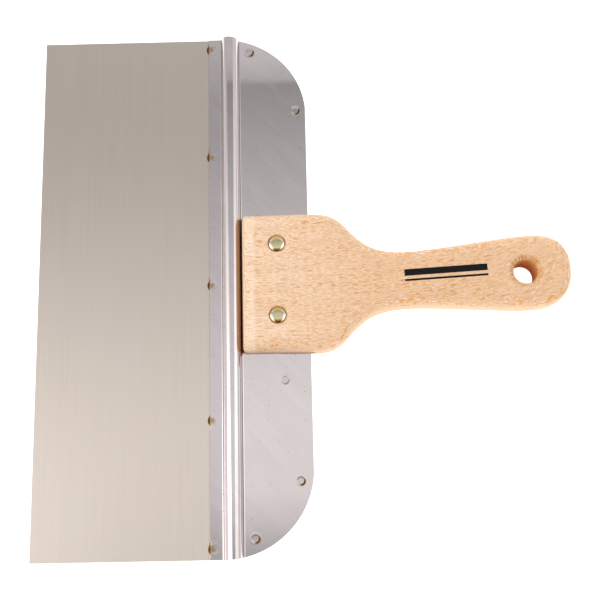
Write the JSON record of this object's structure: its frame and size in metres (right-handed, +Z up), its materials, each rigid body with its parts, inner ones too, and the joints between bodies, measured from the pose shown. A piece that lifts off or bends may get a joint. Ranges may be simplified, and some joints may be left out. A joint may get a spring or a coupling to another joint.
{
  "type": "drywall taping knife",
  "caption": "Drywall taping knife: wide thin flexible steel blade, spot-welded beaded steel stiffener and a flat riveted beech handle with a hanging hole.",
  "frame": {"origin": "middle of the footprint of the whole knife lying on the back of its handle, on the surface it lies on", "axes": "+X from the working edge towards the butt of the handle, +Y along the working edge, +Z up from the back of the handle through the blade, towards the beaded face"},
  "size_m": [0.2982, 0.3, 0.02],
  "materials": {
    "blade_steel": "satin, ground along the working edge",
    "polished_steel": "bright rolled, with faint scratches and heat tint at the spot welds",
    "beech": "sanded beech with a thin clear seal",
    "brass_plate": "bright brass plating"
  },
  "bodies": {
    "root": {"blade": "blade_steel", "stiffener": "polished_steel", "handle": "beech", "rivet_1_socket": "brass_plate", "rivet_1_pin": "brass_plate", "rivet_2_socket": "brass_plate", "rivet_2_pin": "brass_plate"}
  },
  "joints": []
}
